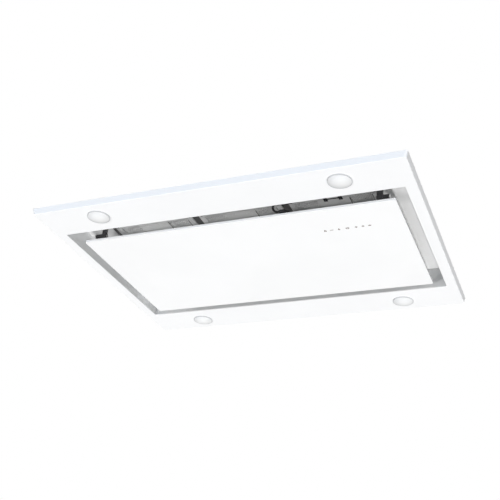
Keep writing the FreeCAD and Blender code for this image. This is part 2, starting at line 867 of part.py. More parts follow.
def dampers():
    """Two half-round flaps on one upright pin across the collar."""
    bore = S.collar_radius - S.collar_wall
    half_pin = bore - S.rest_gap
    pin_y = outer_y + S.seat_back + S.rest_gap + S.damper_knuckle
    keep(rod((0, pin_y, collar_z - half_pin), S.damper_pin_radius, half_pin * 2, "Z"), "damper_pin")
    third = bore / 3
    radius = bore - S.damper_edge
    edge = S.damper_knuckle + S.rest_gap * 2
    top = bore - S.damper_end
    for label, sign in SIDES:
        back = pin_y - S.damper_knuckle
        disc = rod((0, back, collar_z), radius, S.damper_sheet, "Y")
        ends = (edge, radius) if sign > 0 else (-radius, -edge)
        half = common(disc, box((ends[0], back, collar_z - radius), (ends[1], pin_y, collar_z + radius)))
        spans = [(-third + S.rest_gap, third - S.rest_gap)] if sign > 0 else [(-top, -third), (third, top)]
        pieces = [half]
        for low, high in spans:
            pieces.append(rod((0, pin_y, collar_z + low), S.damper_knuckle, high - low, "Z"))
            web = (0, edge + S.damper_sheet) if sign > 0 else (-edge - S.damper_sheet, 0)
            web_low = (web[0], back, collar_z + low)
            pieces.append(box(web_low, (web[1], back + S.damper_sheet, collar_z + high)))
        hole = rod((0, pin_y, collar_z - half_pin), S.damper_pin_radius + S.running_gap, half_pin * 2, "Z")
        keep(cut(join(*pieces), hole), f"damper_flap_{label}")


def electronics():
    """Box on the hinge-side wall with its lid, its circuit board and a cable gland on the left."""
    left = S.box_inset - outer_x
    right = left + S.box_width
    back = -outer_y
    front = back - S.box_depth
    low = S.box_lift
    high = low + S.box_height
    wall = S.box_sheet
    shell = box((left, front, low), (right, back, high))
    room = box((left + wall, front, low + wall), (right - wall, back - wall, high - wall))
    gland_y = back - S.box_depth / 2
    gland_z = low + S.box_height / 2
    hole = rod((left, gland_y, gland_z), S.gland_radius - S.gland_collar, wall, "X")
    keep(cut(shell, room, hole), "electronics_box")
    keep(box((left, front - S.lid_sheet, low), (right, front, high)), "electronics_lid")
    edge = wall + S.board_margin
    board_low = (left + edge, back - wall - S.board_sheet, low + edge)
    board = box(board_low, (right - edge, back - wall, high - edge))
    keep(board, "control_board")
    body = new_body("gland_body")
    neck = S.gland_radius - S.gland_collar - S.running_gap
    revolve(body, [
        (S.gland_bore, -wall), (neck, -wall), (neck, 0),
        (S.gland_radius, 0), (S.gland_radius, S.gland_collar),
        (S.gland_radius - wall, S.gland_collar), (S.gland_radius - wall, S.gland_length - wall),
        (S.gland_radius - wall * 2, S.gland_length), (S.gland_bore, S.gland_length),
    ])
    body.Placement = FreeCAD.Placement(FreeCAD.Vector(), FreeCAD.Rotation(FreeCAD.Vector(0, 1, 0), -90))
    bind(body, Base_x=left, Base_y=gland_y, Base_z=gland_z)
    keep(body, "cable_gland")


def spotlight(number, sign_x, sign_y):
    """One light: bezel and sleeve through the frame, domed frosted lens below and finned body above."""
    place = {
        "Base_x": spot_x * sign_x,
        "Base_y": spot_y * sign_y,
        "Base_z": face_low,
    }
    sleeve = S.spot_radius - S.sleeve_inset
    bore = sleeve - S.sleeve_wall
    pocket_radius = S.spot_radius - S.bezel_rim
    bezel = new_body("bezel_body")
    revolve(bezel, [
        (S.spot_radius, -S.bezel_drop), (S.spot_radius, 0), (sleeve, 0), (sleeve, S.sleeve_height),
        (bore, S.sleeve_height), (bore, -S.bezel_web), (pocket_radius, -S.bezel_web),
        (pocket_radius, -S.bezel_drop),
    ])
    bind(bezel, **place)
    keep(bezel, f"spot_bezel_{number}")
    edge = pocket_radius - S.spot_gap
    dome_low = face_low - S.bezel_drop - S.lens_dome
    ball_radius = (edge * edge + S.lens_dome * S.lens_dome) / (S.lens_dome * 2)
    ball = doc.addObject("Part::Sphere", "ball")
    ball_z = dome_low + ball_radius
    bind(ball, Radius=ball_radius, Base_x=place["Base_x"], Base_y=place["Base_y"], Base_z=ball_z)
    disc = rod((place["Base_x"], place["Base_y"], dome_low), edge, face_low - S.bezel_web - dome_low, "Z")
    keep(common(disc, ball), f"spot_lens_{number}")
    body = new_body("light_body")
    wide = bore - S.spot_gap
    profile = [(0, 0), (wide, 0), (wide, S.sleeve_height)]
    fins = max(1, int((S.spot_height.number - S.sleeve_height.number) // S.fin_pitch.number))
    for i in range(fins):
        foot = S.sleeve_height + S.fin_pitch * (i + 1) - S.fin_sheet
        profile += [(S.core_radius, foot - S.fin_pitch + S.fin_sheet), (S.core_radius, foot),
                    (wide, foot), (wide, foot + S.fin_sheet)]
    profile.append((0, S.sleeve_height + S.fin_pitch * fins))
    revolve(body, profile)
    bind(body, **place)
    keep(body, f"spot_body_{number}")


def spot_clips():
    """A pair of leaf springs on each light's sleeve that press down on the back of the frame."""
    sleeve = S.spot_radius - S.sleeve_inset
    foot = S.frame_sheet
    clips = []
    for sign_x, sign_y in CORNERS:
        for side in (-1, 1):
            start = spot_x * sign_x + sleeve * side
            end = start + S.clip_reach * side
            along = (start, end) if side > 0 else (end, start)
            tab_end = start + S.clip_sheet * side
            tab = (start, tab_end) if side > 0 else (tab_end, start)
            near = spot_y * sign_y - S.clip_width / 2
            far = near + S.clip_width
            low = face_low + foot
            leaf = box((along[0], near, low), (along[1], far, low + S.clip_sheet))
            web = box((tab[0], near, low), (tab[1], far, face_low + S.sleeve_height))
            clips.append(join(leaf, web))
    keep(group(*clips), "spot_clips")


def arm_profile(body, low_x, width):
    """Panel-side arm: a foot on the pan and a short neck up to the hinge line, padded along X."""
    sheet_size = S.hinge_sheet
    arm = sketch_on(body, "YZ_Plane", low_x)
    foot_near = pan_near + S.knuckle_radius
    outline(arm, [
        (axis_y - sheet_size / 2, axis_z), (foot_near, pan_top), (foot_near + S.hinge_foot, pan_top),
        (foot_near + S.hinge_foot, pan_top + sheet_size), (foot_near + sheet_size, pan_top + sheet_size),
        (axis_y + sheet_size, axis_z + sheet_size),
    ])
    pad(body, arm, width)


def knuckle(body, low_x, width, radius, bore):
    """A barrel along the hinge line, with its bore."""
    barrel = sketch_on(body, "YZ_Plane", low_x)
    circle(barrel, (axis_y, axis_z), radius)
    pad(body, barrel, width)
    hole = sketch_on(body, "YZ_Plane", low_x + width)
    circle(hole, (axis_y, axis_z), bore)
    pocket(body, hole, width)


def hinges():
    """Two black hinges on the panel's near side, each a bracket, a leaf and a headed pin."""
    bore = S.hinge_pin_radius + S.running_gap
    pins = []
    for label, sign in SIDES:
        outer_end = panel_x - S.hinge_inset
        split = outer_end - S.knuckle_width
        inner_end = split - S.rest_gap - S.knuckle_width
        leaf_low = split if sign > 0 else -outer_end
        bracket_low = inner_end if sign > 0 else S.rest_gap - split
        bracket = new_body("bracket_body")
        leg = sketch_on(bracket, "YZ_Plane", bracket_low)
        half = S.hinge_sheet / 2
        foot_low = S.plate_height - S.hinge_sheet
        outline(leg, [
            (axis_y - half, axis_z), (axis_y + half, axis_z), (axis_y + half, foot_low),
            (axis_y + half + S.hinge_bracket_foot, foot_low),
            (axis_y + half + S.hinge_bracket_foot, S.plate_height),
            (axis_y - half, S.plate_height),
        ])
        pad(bracket, leg, S.knuckle_width)
        knuckle(bracket, bracket_low, S.knuckle_width, S.knuckle_radius, bore)
        keep(bracket, f"hinge_bracket_{label}")
        leaf = new_body("leaf_body")
        arm_profile(leaf, leaf_low, S.knuckle_width)
        knuckle(leaf, leaf_low, S.knuckle_width, S.knuckle_radius, bore)
        keep(leaf, f"hinge_leaf_{label}")
        length = S.knuckle_width * 2 + S.rest_gap * 2
        head_at = outer_end + S.rest_gap
        head_radius = S.knuckle_radius - S.rest_gap * 2
        if sign > 0:
            shank = rod((inner_end, axis_y, axis_z), S.hinge_pin_radius, length, "X")
            head = rod((head_at, axis_y, axis_z), head_radius, S.pin_head, "X")
        else:
            shank = rod((-head_at, axis_y, axis_z), S.hinge_pin_radius, length, "X")
            head = rod((-head_at - S.pin_head, axis_y, axis_z), head_radius, S.pin_head, "X")
        pins.append(join(shank, head))
    keep(group(*pins), "hinge_pins")


def catches():
    """Two magnetic catches under the plate on the far side, with strikers on the pan."""
    posts = []
    strikers = []
    far = pan_y
    near = far - S.catch_depth
    striker_top = pan_top + S.striker_sheet
    for sign in (-1, 1):
        left = (pan_x - S.catch_inset) * sign - S.catch_width / 2
        right = left + S.catch_width
        ear = S.catch_ear
        foot = box((left - ear, near, S.plate_height - S.catch_flange), (right + ear, far, S.plate_height))
        post = box((left, near, striker_top + S.rest_gap), (right, far, S.plate_height))
        posts.append(join(foot, post))
        strikers.append(box((left, near, pan_top), (right, far, striker_top)))
    keep(group(*posts), "catch_bodies")
    keep(group(*strikers), "catch_strikers")


def panel():
    """Glass plate with rounded corners and ground edges, and the folded steel pan behind it."""
    glass = new_body("glass_body")
    face = sketch_on(glass, "XY_Plane", glass_low)
    rectangle(face, panel_x, (panel_y - panel_near) / 2, (0, (panel_y + panel_near) / 2))
    pad(glass, face, S.glass_thickness)
    upright = S.glass_thickness.number / 2
    fillet(glass, lambda edge: edge.BoundBox.ZLength > upright, S.glass_corner)
    floor = glass_low.number
    fillet(glass, lambda edge: abs(edge.BoundBox.ZMax - floor) < LEVEL, S.glass_bevel)
    keep(glass, "panel_glass")
    pan = new_body("pan_body")
    block = sketch_on(pan, "XY_Plane", glass_top)
    pan_half = (pan_y - pan_near) / 2
    pan_middle = (0, (pan_y + pan_near) / 2)
    rectangle(block, pan_x, pan_half, pan_middle)
    pad(pan, block, S.pan_height)
    well = sketch_on(pan, "XY_Plane", pan_top - S.pan_sheet)
    rectangle(well, pan_x - S.pan_sheet, pan_half - S.pan_sheet, pan_middle)
    pocket(pan, well, S.pan_height - S.pan_sheet)
    inside = (pan_x - S.pan_sheet / 2).number

    def is_inner(edge):
        return edge.BoundBox.ZLength > upright and abs(edge.BoundBox.Center.x) < inside

    def is_outer(edge):
        return edge.BoundBox.ZLength > upright and abs(edge.BoundBox.Center.x) > inside

    fillet(pan, is_inner, S.glass_corner - S.pan_sheet)
    fillet(pan, is_outer, S.glass_corner)
    keep(pan, "panel_pan")


def touch_control():
    """Touch board on the back of the glass and the low cover over its wires on the pan."""
    half = S.touch_width / 2
    deep = S.touch_depth / 2
    low = (touch_x - half, touch_y - deep, glass_top)
    board = box(low, (touch_x + half, touch_y + deep, glass_top + S.board_sheet))
    keep(board, "touch_board")
    cover = new_body("cover_body")
    face = sketch_on(cover, "XY_Plane", pan_top)
    rectangle(face, half, deep, (touch_x, touch_y))
    pad(cover, face, S.touch_cover_height)
    upright = S.touch_cover_height.number / 2
    fillet(cover, lambda edge: edge.BoundBox.ZLength > upright, S.glass_corner)
    wall = S.touch_cover_wall
    room = sketch_on(cover, "XY_Plane", pan_top + S.touch_cover_height - wall)
    rectangle(room, half - wall, deep - wall, (touch_x, touch_y))
    pocket(cover, room, S.touch_cover_height - wall)
    keep(cover, "touch_cover")


def lead_tube(label, points):
    """A lead along straight runs joined by arcs of one radius."""
    radius = S.lead_bend.number
    corners = [FreeCAD.Vector(*[size.number for size in point]) for point in points]
    edges = []
    start = corners[0]
    for before, corner, after in zip(corners, corners[1:], corners[2:]):
        towards = (before - corner).normalize()
        onwards = (after - corner).normalize()
        half_turn = towards.getAngle(onwards) / 2
        entry = corner + towards * (radius / math.tan(half_turn))
        leave = corner + onwards * (radius / math.tan(half_turn))
        bisector = (towards + onwards).normalize()
        middle = corner + bisector * (radius / math.sin(half_turn) - radius)
        edges.append(Part.makeLine(start, entry))
        edges.append(Part.Arc(entry, middle, leave).toShape())
        start = leave
    edges.append(Part.makeLine(start, corners[-1]))
    first = corners[1] - corners[0]
    section = Part.Wire(Part.makeCircle(S.lead_radius.number, corners[0], first))
    tube = Part.Wire(edges).makePipeShell([section], True, False)
    solid_of(label, tube)


def control_lead():
    """The lead from its socket under the plate to the panel; it crosses to the panel on the hinge line."""
    y, z = axis_y, axis_z
    socket_low = S.plate_height - S.socket_height
    half = S.socket_depth / 2
    left = touch_x - S.socket_back
    right = left + S.socket_width
    keep(box((left, y - half, socket_low), (right, y + half, S.plate_height)), "control_socket")
    top = socket_low + S.socket_height / 2
    drop = touch_x - S.lead_back
    clip_low = touch_x - S.clip_back
    crossing = clip_low + S.clip_length / 2
    lead_tube("control_lead", [(left, y, top), (drop, y, top), (drop, y, z), (crossing - S.rest_gap, y, z)])
    turn_x = clip_low + S.clip_length + S.lead_bend + S.rest_gap
    cover_side = touch_x - S.touch_width / 2
    lead_tube("panel_lead", [
        (crossing, y, z), (turn_x, y, z), (turn_x, touch_y, z), (cover_side, touch_y, z),
    ])
    clip = new_body("clip_body")
    arm_profile(clip, clip_low, S.clip_length)
    bore = S.lead_radius + S.running_gap
    knuckle(clip, clip_low, S.clip_length, bore + S.clip_wall, bore)
    keep(clip, "lead_clip")


ceiling_frame()
liner()
filter_plate()
filter_rails()
filter_keepers()
for number in (1, 2, 3):
    grease_filter(number)
    filter_mesh(number)
for label, turn in (("front", 0), ("rear", 180), ("left", -90), ("right", 90)):
    housing_panel(f"housing_{label}_panel", turn)
top_cover()
suspension_brackets()
blower_scroll()
inlet_ring()
impeller()
motor()
blower_hangers()
outlet_collar()
dampers()
electronics()
for number, (sign_x, sign_y) in enumerate(CORNERS, 1):
    spotlight(number, sign_x, sign_y)
spot_clips()
hinges()
catches()
panel()
touch_control()
control_lead()
doc.recompute()

faults = [obj.Name for obj in doc.Objects if {"Invalid", "Error"} & set(obj.State)]
faults += [part.Label for part in subparts if part.Shape.isNull() or not part.Shape.isValid()]
if faults:
    raise RuntimeError(f"these objects failed: {faults}")

os.makedirs("parts", exist_ok=True)
for part in subparts:
    part.Shape.exportStep(f"parts/{part.Label}.step")
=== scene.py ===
import math

import bmesh
import bpy
import numpy as np
from mathutils import Matrix, Vector


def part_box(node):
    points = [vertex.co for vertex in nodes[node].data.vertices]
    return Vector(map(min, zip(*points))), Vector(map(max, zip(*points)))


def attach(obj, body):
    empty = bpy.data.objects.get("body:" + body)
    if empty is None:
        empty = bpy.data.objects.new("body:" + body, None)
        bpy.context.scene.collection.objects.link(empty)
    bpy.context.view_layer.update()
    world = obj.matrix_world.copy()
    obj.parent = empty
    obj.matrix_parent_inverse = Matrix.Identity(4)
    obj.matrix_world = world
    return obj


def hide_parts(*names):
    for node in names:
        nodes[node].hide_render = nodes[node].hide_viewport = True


# Ceiling hood: finishes, fasteners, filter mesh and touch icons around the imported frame. Lengths are metres.

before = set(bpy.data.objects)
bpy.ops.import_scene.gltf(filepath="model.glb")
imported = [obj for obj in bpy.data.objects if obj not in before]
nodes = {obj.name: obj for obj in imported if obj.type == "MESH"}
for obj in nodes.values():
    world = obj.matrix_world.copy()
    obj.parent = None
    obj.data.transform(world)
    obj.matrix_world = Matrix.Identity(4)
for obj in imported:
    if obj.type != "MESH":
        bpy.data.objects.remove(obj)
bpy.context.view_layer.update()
MM = 0.001
X, Y, Z = range(3)


# Shader maths
class Wire:
    """One output socket, so that shader maths reads as ordinary sums."""

    def __init__(self, graph, socket):
        self.graph = graph
        self.socket = socket

    def maths(self, operation, *others):
        """A Math node on this value and any others."""
        return self.graph.node("ShaderNodeMath", {"operation": operation}, self, *others)

    def output(self, key):
        """Another output of the same node, by its name or number."""
        return Wire(self.graph, self.socket.node.outputs[key])

    def __add__(self, other):
        return self.maths("ADD", other)

    def __mul__(self, other):
        return self.maths("MULTIPLY", other)

    def __sub__(self, other):
        return self.maths("SUBTRACT", other)

    def __rsub__(self, other):
        return self.graph.node("ShaderNodeMath", {"operation": "SUBTRACT"}, other, self)

    def __truediv__(self, other):
        return self.maths("DIVIDE", other)

    def __pow__(self, other):
        return self.maths("POWER", other)

    __radd__ = __add__
    __rmul__ = __mul__


class Graph:
    """A node tree, and the one way to add a node to it."""

    def __init__(self, tree):
        self.tree = tree

    def node(self, kind, settings, *values, out=0, first=0, **named):
        """Adds a node: settings, then values or links in order from the first socket, or by socket name."""
        made = self.tree.nodes.new(kind)
        for key, value in settings.items():
            if key == "stops":
                self.stops(made.color_ramp, value)
            else:
                setattr(made, key, value)
        for place, value in enumerate(values, first):
            self.feed(made.inputs[place], value)
        for name, value in named.items():
            self.feed(made.inputs[name.replace("_", " ")], value)
        return Wire(self, made.outputs[out])

    def stops(self, ramp, stops):
        """Gives a colour ramp its stops, each a place and a colour."""
        while len(ramp.elements) < len(stops):
            ramp.elements.new(1.0)
        for element, (place, colour) in zip(ramp.elements, stops):
            element.position = place
            element.color = (*colour, 1.0)

    def feed(self, socket, value):
        """Links a wire to a socket, or sets the socket's own value."""
        if isinstance(value, Wire):
            self.tree.links.new(value.socket, socket)
        else:
            socket.default_value = value

    def show(self, shader, output):
        """Links a shader to the tree's output node."""
        self.feed(self.tree.nodes[output].inputs["Surface"], shader)


class Finish(Graph):
    """A material and the nodes that make it."""

    # A Mix node's colour sockets come after those for numbers and vectors.
    MIX_COLOURS = 6
    MIX_RESULT = 2

    def __init__(self, name):
        self.material = bpy.data.materials.new(name)
        self.material.use_nodes = True
        super().__init__(self.material.node_tree)
        self.shader = self.tree.nodes["Principled BSDF"]

    def set(self, **sockets):
        """Sets or links the shader's own sockets; Base_Color stands for Base Color."""
        for name, value in sockets.items():
            socket = self.shader.inputs[name.replace("_", " ")]
            if not isinstance(value, Wire) and socket.type == "RGBA":
                value = (*value, 1.0)
            self.feed(socket, value)
        return self

    def place(self, scale=(1, 1, 1)):
        """Object coordinates, stretched by a scale along each axis."""
        where = self.node("ShaderNodeTexCoord", {}, out="Object")
        return self.node("ShaderNodeMapping", {}, Vector=where, Scale=scale)

    def split(self, vector):
        """The X, Y and Z of a vector."""
        apart = self.node("ShaderNodeSeparateXYZ", {}, vector)
        return [apart.output(axis) for axis in (X, Y, Z)]

    def noise(self, scale, stretch=(1, 1, 1), detail=3.0):
        """Cloudy noise from 0 to 1 over the object."""
        return self.node("ShaderNodeTexNoise", {}, Vector=self.place(stretch), Scale=scale, Detail=detail)

    def cells(self, scale):
        """Cells with a random colour each."""
        return self.node("ShaderNodeTexVoronoi", {}, Vector=self.place(), Scale=scale, out="Color")

    def ramp(self, value, *stops):
        """A colour that runs through stops as a value rises."""
        return self.node("ShaderNodeValToRGB", {"stops": stops}, value)

    def tones(self, value, colour, low, high, reach):
        """A colour from a darker to a lighter shade of itself, over a reach each side of a value's middle."""
        dark, light = [tuple(min(1.0, c * shade) for c in colour) for shade in (low, high)]
        return self.ramp(value, (0.5 - reach, dark), (0.5 + reach, light))

    def mix(self, share, first, second):
        """A colour between two colours."""
        pair = [c if isinstance(c, Wire) else (*c, 1.0) for c in (first, second)]
        return self.node("ShaderNodeMix", {"data_type": "RGBA"}, *pair, first=self.MIX_COLOURS,
                         out=self.MIX_RESULT, Factor=share)

    def bump(self, height, depth, strength):
        """A normal that follows a height."""
        return self.node("ShaderNodeBump", {}, Height=height, Distance=depth, Strength=strength)


# Materials
def white_paint():
    """Satin powder coat: faint orange peel and a slight drift in tone."""
    finish = Finish("white_paint")
    drift = finish.noise(scale=6.0)
    peel = finish.noise(scale=900.0, detail=2.0)
    finish.set(Specular_IOR_Level=0.3)
    return finish.set(Base_Color=finish.tones(drift, (0.955, 0.96, 0.965), low=0.99, high=1.01, reach=0.15),
                      Roughness=0.42 + 0.08 * drift,
                      Normal=finish.bump(peel, depth=0.06 * MM, strength=0.25)).material


def white_glass():
    """White-backed glass: deep gloss with a very slight roll."""
    finish = Finish("white_glass")
    drift = finish.noise(scale=4.0)
    roll = finish.noise(scale=22.0, detail=0.0)
    finish.set(Coat_Weight=0.25, Coat_Roughness=0.03, IOR=1.5)
    return finish.set(Base_Color=finish.tones(drift, (0.98, 0.982, 0.984), low=0.99, high=1.01, reach=0.1),
                      Roughness=0.1 + 0.05 * drift,
                      Normal=finish.bump(roll, depth=0.2 * MM, strength=0.1)).material


def brush_marks(finish, stretch):
    """Fine streaks drawn out along the rolling direction, and the same with a little cloud."""
    fine = finish.noise(scale=1.0, stretch=stretch, detail=4.0)
    cloud = finish.noise(scale=7.0)
    return fine, fine * 0.6 + cloud * 0.4


def brushed(name, colour, stretch, rough, metallic=1.0):
    """Brushed sheet: streaks in tone, gloss and height."""
    finish = Finish(name)
    fine, tone = brush_marks(finish, stretch)
    finish.set(Metallic=metallic, Anisotropic=0.4)
    return finish.set(Base_Color=finish.tones(tone, colour, low=0.94, high=1.06, reach=0.2),
                      Roughness=rough - 0.07 + 0.14 * fine,
                      Normal=finish.bump(fine, depth=0.02 * MM, strength=0.3)).material


def painted_shade_sheet(name, colour, stretch, axis, lit_at, shaded_at, share, streak, metallic=0.0):
    """Brushed sheet with painted shade: its tone falls off to a share of its colour from one place along an
    axis to another.
    """
    finish = Finish(name)
    along = finish.split(finish.place())[axis]
    fine, tone = brush_marks(finish, stretch)
    # Share of the full tone: painted shade from where the sheet is lit to where it is shaded, its edge broken
    # by the brush marks
    lit_share = (shaded_at - along) / (shaded_at - lit_at) + (tone - 0.5) * streak
    shaded_colour = tuple(c * share for c in colour)
    finish.set(Metallic=metallic, Anisotropic=0.4)
    return finish.set(Base_Color=finish.ramp(lit_share, (0.0, shaded_colour), (1.0, colour)),
                      Roughness=0.38 + 0.14 * fine,
                      Normal=finish.bump(fine, depth=0.02 * MM, strength=0.3)).material


def galvanised(name, colour, metallic):
    """Zinc-coated sheet: interlocked spangles, each with its own tone and gloss."""
    finish = Finish(name)
    spangle = finish.node("ShaderNodeSeparateColor", {}, finish.cells(scale=105.0))
    fine = finish.noise(scale=400.0)
    tone = spangle * 0.75 + fine * 0.25
    finish.set(Metallic=metallic)
    return finish.set(Base_Color=finish.tones(tone, colour, low=0.89, high=1.09, reach=0.35),
                      Roughness=0.46 + 0.14 * spangle,
                      Normal=finish.bump(tone, depth=0.04 * MM, strength=0.3)).material


def speckled(name, colour, rough, metallic=0.0, grain=700.0, depth=0.05 * MM, spread=0.18):
    """Moulded, cast or coated surface: fine grain in tone, gloss and height."""
    finish = Finish(name)
    fine = finish.noise(scale=grain, detail=2.0)
    cloud = finish.noise(scale=18.0)
    tone = fine * 0.5 + cloud * 0.5
    finish.set(Metallic=metallic)
    return finish.set(Base_Color=finish.tones(tone, colour, low=1 - spread, high=1 + spread, reach=0.2),
                      Roughness=rough - 0.05 + 0.1 * cloud,
                      Normal=finish.bump(fine, depth, strength=0.4)).material


def circuit_board():
    """Green solder resist with copper runs that show through as paler lines."""
    finish = Finish("circuit_board")
    runs = finish.node("ShaderNodeTexBrick", {"offset": 0.5, "squash": 1.0}, Vector=finish.place(),
                       Scale=220.0, Mortar_Size=0.06, out="Fac")
    grain = finish.noise(scale=300.0)
    green = finish.mix(grain, (0.02, 0.12, 0.05), (0.03, 0.16, 0.07))
    return finish.set(Base_Color=finish.mix(runs, green, (0.10, 0.30, 0.14)),
                      Roughness=0.35 + 0.1 * grain).material


def spot_lens(middle, radius, painted_highlight_side):
    """Frosted dome with painted shading: a painted highlight a little to one side of its middle, and painted
    shade greyer towards its rim.

    The four lights lie alike in the four quarters, so the sign of X and of Y moves one middle to them all.
    """
    finish = Finish("spot_lens")
    x, y, _ = finish.split(finish.place())
    across = x - x.maths("SIGN") * middle.x - painted_highlight_side * radius
    along = y - y.maths("SIGN") * middle.y
    away = (across ** 2 + along ** 2) ** 0.5 / radius
    frost = finish.noise(scale=1500.0, detail=1.0)
    # Painted shading of a lit dome: palest at the painted highlight, greyer out to the rim
    face = finish.ramp(away, (0.0, (0.89, 0.895, 0.895)), (0.35, (0.87, 0.875, 0.875)),
                       (0.75, (0.83, 0.835, 0.84)), (1.0, (0.77, 0.775, 0.78)))
    finish.set(Coat_Weight=0.2, Coat_Roughness=0.2)
    return finish.set(Base_Color=face, Roughness=0.4 + 0.1 * frost,
                      Normal=finish.bump(frost, depth=0.04 * MM, strength=0.4)).material


# Stretches of the noise: a low number draws the marks out along that axis
ALONG_X = (9.0, 900.0, 900.0)
ALONG_Y = (900.0, 9.0, 900.0)
ROUND_WALLS = (9.0, 9.0, 1200.0)
MESH_GRAIN = (60.0, 60.0, 60.0)
FINE_GRAIN = (300.0, 300.0, 300.0)

# Where a sheet's painted shade begins, and where it is darkest
WALL_LIT_Y = 0.18
WALL_SHADED_Y = 0.23
PLATE_LIT_Y = -0.085
PLATE_SHADED_Y = -0.12
FRAME_LIT_X = -0.23
MESH_LIT_X = -0.15
FILTER_SHADED_X = 0.48

# The light in the quarter where X and Y are above nought
spot_low, spot_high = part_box("spot_lens_3")
SPOT_MIDDLE = (spot_low + spot_high) / 2
SPOT_R = (spot_high.x - spot_low.x) / 2

# Finishes by CAD node; galvanised sheet where none is named
paint = white_paint()
glass = white_glass()
# Liner: painted shade, darker at and near its far wall
liner_steel = painted_shade_sheet("liner_steel", (0.96, 0.97, 0.975), ROUND_WALLS, axis=Y, lit_at=WALL_LIT_Y,
                     shaded_at=WALL_SHADED_Y, share=0.79, streak=0.2, metallic=0.4)
# Filter plate: painted shade, darker towards the front, over the band that light through the near slot falls
# on
plate_steel = painted_shade_sheet("plate_steel", (0.99, 0.99, 0.985), ALONG_X, axis=Y, lit_at=PLATE_LIT_Y,
                     shaded_at=PLATE_SHADED_Y, share=0.81, streak=0.1, metallic=0.1)
# Filter frames: painted shade, darker towards the right, as if less light reached the third filter
filter_steel = painted_shade_sheet("filter_steel", (0.87, 0.87, 0.865), ALONG_Y, axis=X, lit_at=FRAME_LIT_X,
                      shaded_at=FILTER_SHADED_X, share=0.50, streak=0.2)
# Filter mesh: the same painted shade, darker towards the right
mesh_metal = painted_shade_sheet("mesh_metal", (0.98, 0.98, 0.975), MESH_GRAIN, axis=X, lit_at=MESH_LIT_X,
                    shaded_at=FILTER_SHADED_X, share=0.53, streak=0.3)
# Dark steel of the window hems: a painted shadow line where each hem laps the mesh
hem_painted_shadow = brushed("hem_painted_shadow", (0.16, 0.16, 0.16), ALONG_Y, rough=0.5, metallic=0.6)
bright_steel = brushed("bright_steel", (0.68, 0.68, 0.68), FINE_GRAIN, rough=0.22)
damper_metal = brushed("damper_metal", (0.70, 0.71, 0.72), ALONG_Y, rough=0.33)
zinc = galvanised("galvanised", (0.60, 0.615, 0.625), metallic=0.6)
pan_zinc = galvanised("pan_zinc", (0.80, 0.81, 0.815), metallic=0.3)
black_coat = speckled("black_coat", (0.022, 0.022, 0.024), rough=0.42)
rail_coat = speckled("rail_coat", (0.14, 0.137, 0.135), rough=0.5)
black_plastic = speckled("black_plastic", (0.024, 0.024, 0.026), rough=0.5, depth=0.1 * MM)
fan_plastic = speckled("fan_plastic", (0.05, 0.05, 0.055), rough=0.45)
jacket = speckled("lead_jacket", (0.012, 0.012, 0.013), rough=0.48, grain=1400.0)
rubber = speckled("bush_rubber", (0.03, 0.03, 0.03), rough=0.8)
cast_metal = speckled("motor_metal", (0.42, 0.43, 0.44), rough=0.48, metallic=0.8, depth=0.15 * MM)
bezel_metal = speckled("spot_metal", (0.62, 0.63, 0.64), rough=0.3, metallic=0.6, spread=0.06)
heatsink = speckled("spot_heatsink", (0.16, 0.165, 0.17), rough=0.42, metallic=0.8)
icon_ink = speckled("icon_ink", (0.13, 0.08, 0.06), rough=0.6, spread=0.1)
board = circuit_board()
lens = spot_lens(SPOT_MIDDLE, SPOT_R, painted_highlight_side=0.2)

FINISHES = {
    "ceiling_frame": paint, "panel_glass": glass, "liner": liner_steel, "filter_plate": plate_steel,
    "filter_frame": filter_steel, "filter_mesh": mesh_metal, "panel_pan": pan_zinc,
    "hinge_bracket": black_coat, "hinge_leaf": black_coat, "filter_rails": rail_coat,
    "hinge_pins": bright_steel, "damper_pin": bright_steel, "motor_shaft": bright_steel,
    "spot_clips": bright_steel, "catch_bodies": black_plastic, "control_socket": black_plastic,
    "touch_cover": black_plastic, "lead_clip": black_plastic, "cable_gland": black_plastic,
    "impeller": fan_plastic, "control_lead": jacket, "panel_lead": jacket,
    "motor_bushes": rubber, "motor_body": cast_metal, "damper_flap": damper_metal, "control_board": board,
    "touch_board": board, "spot_bezel": bezel_metal, "spot_lens": lens, "spot_body": heatsink,
}
for name, node in nodes.items():
    stem = next((key for key in FINISHES if name.startswith(key)), None)
    node.data.materials.clear()
    node.data.materials.append(FINISHES[stem] if stem else zinc)


# Surfaces worked out on grids
MERGE = 1e-7
QUAD = 4


def surface(name, grid, material, body, ring=(True, False)):
    """Skin over grids of points, shaped copies x rows x columns x 3.

    ring says whether the last row, and the last column, joins the first. Doubled points at poles and seams
    are merged, and the faces are turned outwards.
    """
    copies, rows, columns, _ = grid.shape
    index = np.arange(copies * rows * columns).reshape(copies, rows, columns)
    for axis, closed in enumerate(ring, 1):
        if closed:
            index = np.concatenate([index, index.take([0], axis)], axis)
    corners = [index[:, :-1, :-1], index[:, 1:, :-1], index[:, 1:, 1:], index[:, :-1, 1:]]
    quads = np.stack(corners, -1).reshape(-1, QUAD)
    mesh = bpy.data.meshes.new(name)
    mesh.vertices.add(index.max() + 1)
    mesh.vertices.foreach_set("co", grid.astype(np.float32).ravel())
    mesh.loops.add(quads.size)
    mesh.loops.foreach_set("vertex_index", quads.astype(np.int32).ravel())
    mesh.polygons.add(len(quads))
    mesh.polygons.foreach_set("loop_start", np.arange(0, quads.size, QUAD, dtype=np.int32))
    mesh.update(calc_edges=True)
    skin = bmesh.new()
    skin.from_mesh(mesh)
    bmesh.ops.remove_doubles(skin, verts=skin.verts, dist=MERGE)
    bmesh.ops.recalc_face_normals(skin, faces=skin.faces)
    skin.to_mesh(mesh)
    skin.free()
    mesh.materials.append(material)
    made = bpy.data.objects.new(name, mesh)
    bpy.context.scene.collection.objects.link(made)
    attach(made, body)
    return made


